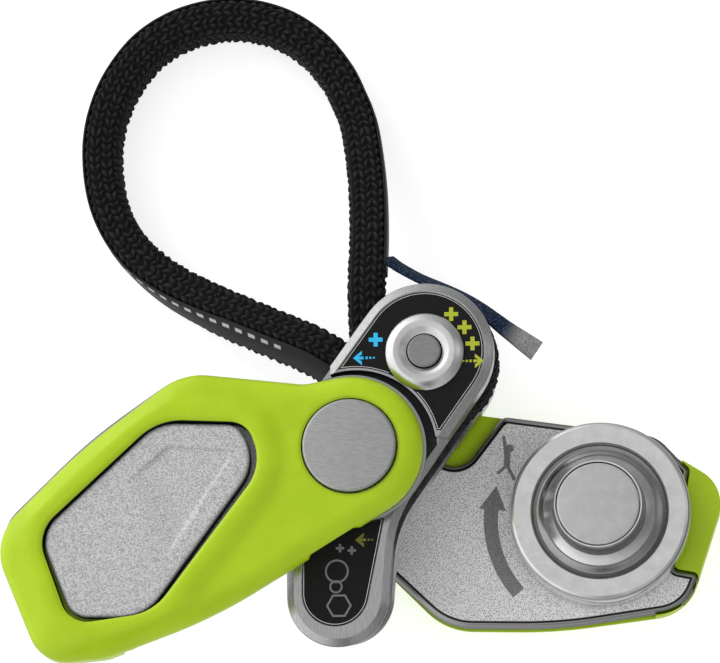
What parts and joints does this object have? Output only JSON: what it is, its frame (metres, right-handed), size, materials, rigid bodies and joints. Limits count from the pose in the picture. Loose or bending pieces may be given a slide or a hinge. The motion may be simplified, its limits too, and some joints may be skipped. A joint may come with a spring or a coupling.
{
  "type": "belay resistor",
  "caption": "Hinged belay resistor for lead climbing: covered shells swing about a main pivot beside an arm with a textile sling, and close over a turned rope drum.",
  "frame": {"origin": "centre of the main pivot at the flat rear face that the object lies on", "axes": "+Z along the main pivot, from the rear shell to the front shell; +Y towards the sling; +X towards the rope drum"},
  "size_m": [0.1693, 0.167, 0.0414],
  "materials": {
    "shell_green": "glossy moulded lime green",
    "plate_blasted": "sand-blasted, speckled",
    "arm_metal": "brushed with chamfered edges",
    "turned_steel": "turned",
    "pin_steel": "brushed",
    "bearing_bronze": "plain bearing bronze",
    "bush_alloy": "smooth",
    "inlay_black": "satin black",
    "sling_black": "chunky knitted textile",
    "label_navy": "thin woven tape"
  },
  "bodies": {
    "arm": {"arm_front_cheek": "arm_metal", "arm_rear_cheek": "arm_metal", "arm_nose_block": "arm_metal", "front_inlay_upper": "inlay_black", "front_inlay_lower": "inlay_black", "rear_inlay_upper": "inlay_black", "rear_inlay_lower": "inlay_black", "nose_pin_1": "pin_steel", "nose_pin_2": "pin_steel", "sling_pin": "pin_steel", "sling_bush": "bush_alloy", "pin_ring_front": "turned_steel", "pin_ring_rear": "turned_steel", "pivot_sleeve": "bearing_bronze", "thrust_washer_front": "bearing_bronze", "thrust_washer_rear": "bearing_bronze", "pivot_bolt": "pin_steel", "pivot_cap_rear": "pin_steel", "hub_spacer_front": "pin_steel", "hub_spacer_rear": "pin_steel", "wave_washer_front": "pin_steel", "lock_washer_rear": "pin_steel", "sling_loop": "sling_black", "sling_eye": "sling_black", "label_tab": "label_navy"},
    "front_shell": {"front_cover": "shell_green", "front_plate": "plate_blasted", "front_pad": "plate_blasted", "front_hub_seat": "turned_steel"},
    "rear_shell": {"rear_cover": "shell_green", "rear_plate": "plate_blasted", "rear_pad": "plate_blasted", "rope_drum": "turned_steel", "drum_washer": "pin_steel", "drum_bolt": "pin_steel", "hub_spring": "pin_steel"},
    "button": {"hub_button": "turned_steel"}
  },
  "joints": [
    {"name": "front_swing", "type": "hinge", "parent": "arm", "child": "front_shell", "pos_m": [0, 0, 0.035], "axis": [0, 0, 1], "range_deg": [0, 143.6]},
    {"name": "rear_swing", "type": "hinge", "parent": "arm", "child": "rear_shell", "pos_m": [0, 0, 0.008], "axis": [0, 0, 1], "range_deg": [-52, 0]},
    {"name": "button_press", "type": "slide", "parent": "rear_shell", "child": "button", "axis": [0, 0, 1], "range_m": [-0.0015, 0], "stiffness_N_per_m": 900, "deforming": ["hub_spring"]}
  ]
}
